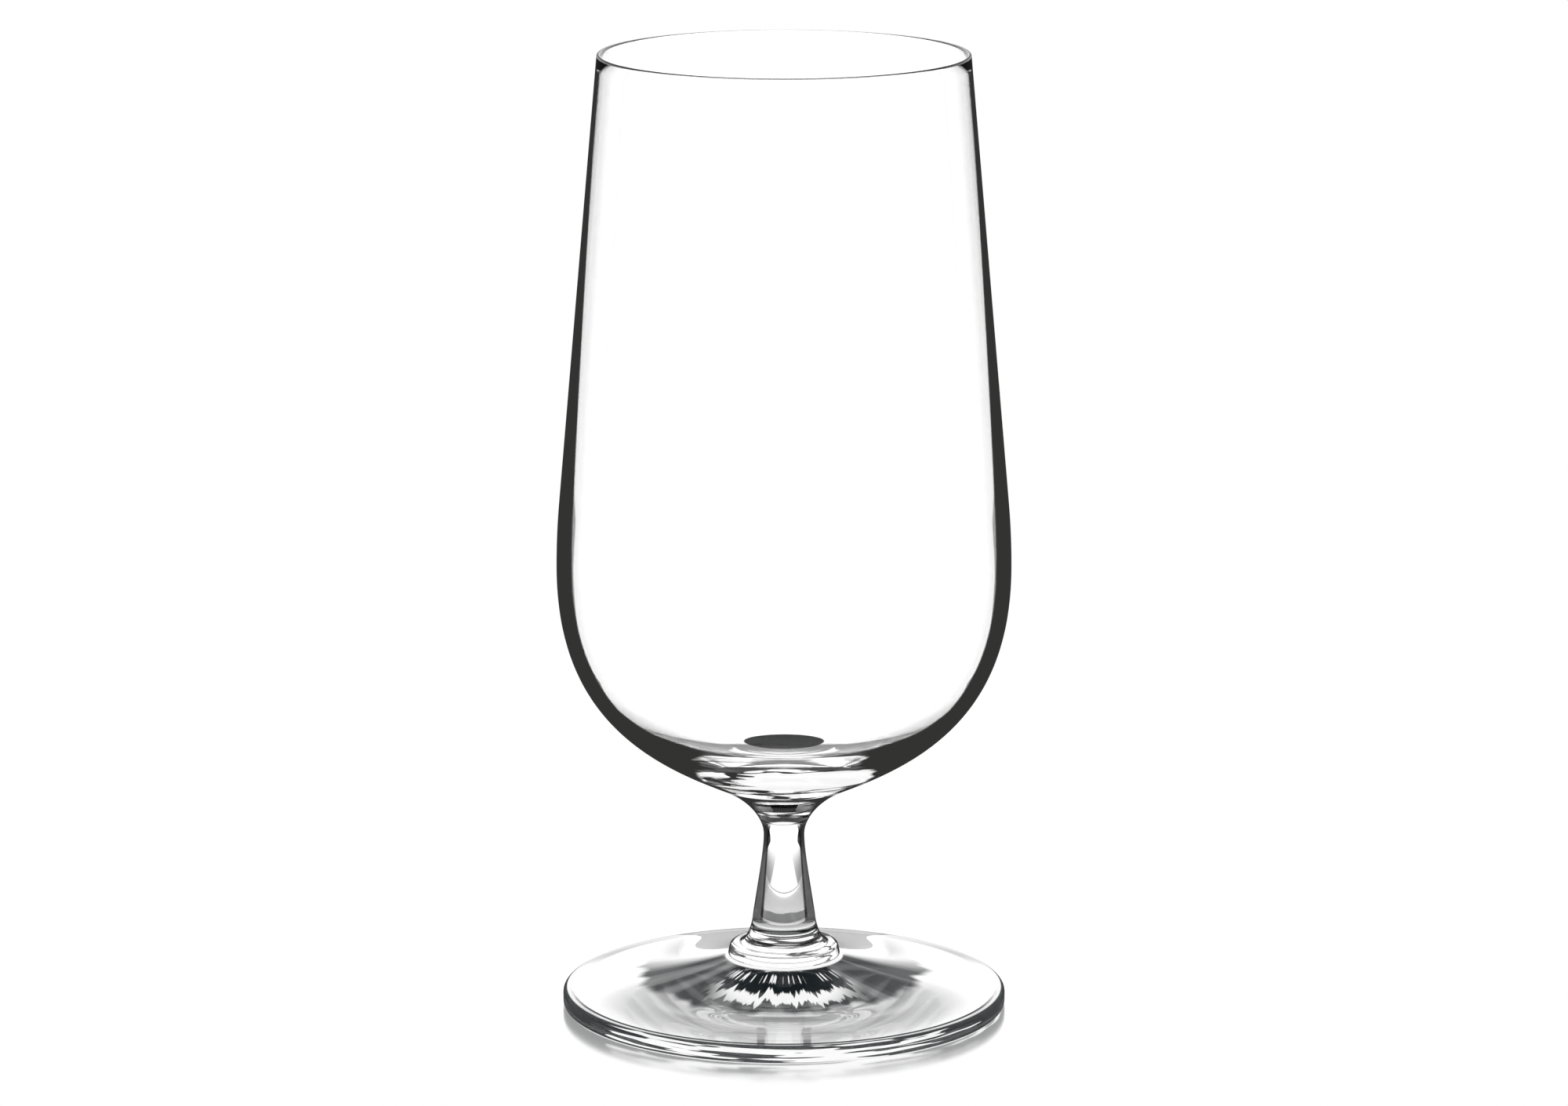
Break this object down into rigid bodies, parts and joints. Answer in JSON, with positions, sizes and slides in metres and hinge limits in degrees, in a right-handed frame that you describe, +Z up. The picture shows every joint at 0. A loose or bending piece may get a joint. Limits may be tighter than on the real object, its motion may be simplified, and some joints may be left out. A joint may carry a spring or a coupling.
{
  "type": "pilsner glass",
  "caption": "Clear stemmed pilsner glass: a tapered bowl with a heavy round bottom on a slim stem, a small collar and a wide coned foot, for drinking beer.",
  "frame": {"origin": "centre of the flat ring under the foot, on the surface that the glass stands on", "axes": "+Z up along the axis of the glass towards the rim"},
  "size_m": [0.0822, 0.0822, 0.175],
  "materials": {
    "clear_glass": "fire-polished"
  },
  "bodies": {
    "root": {"foot": "clear_glass", "collar": "clear_glass", "stem": "clear_glass", "bowl": "clear_glass"}
  },
  "joints": []
}
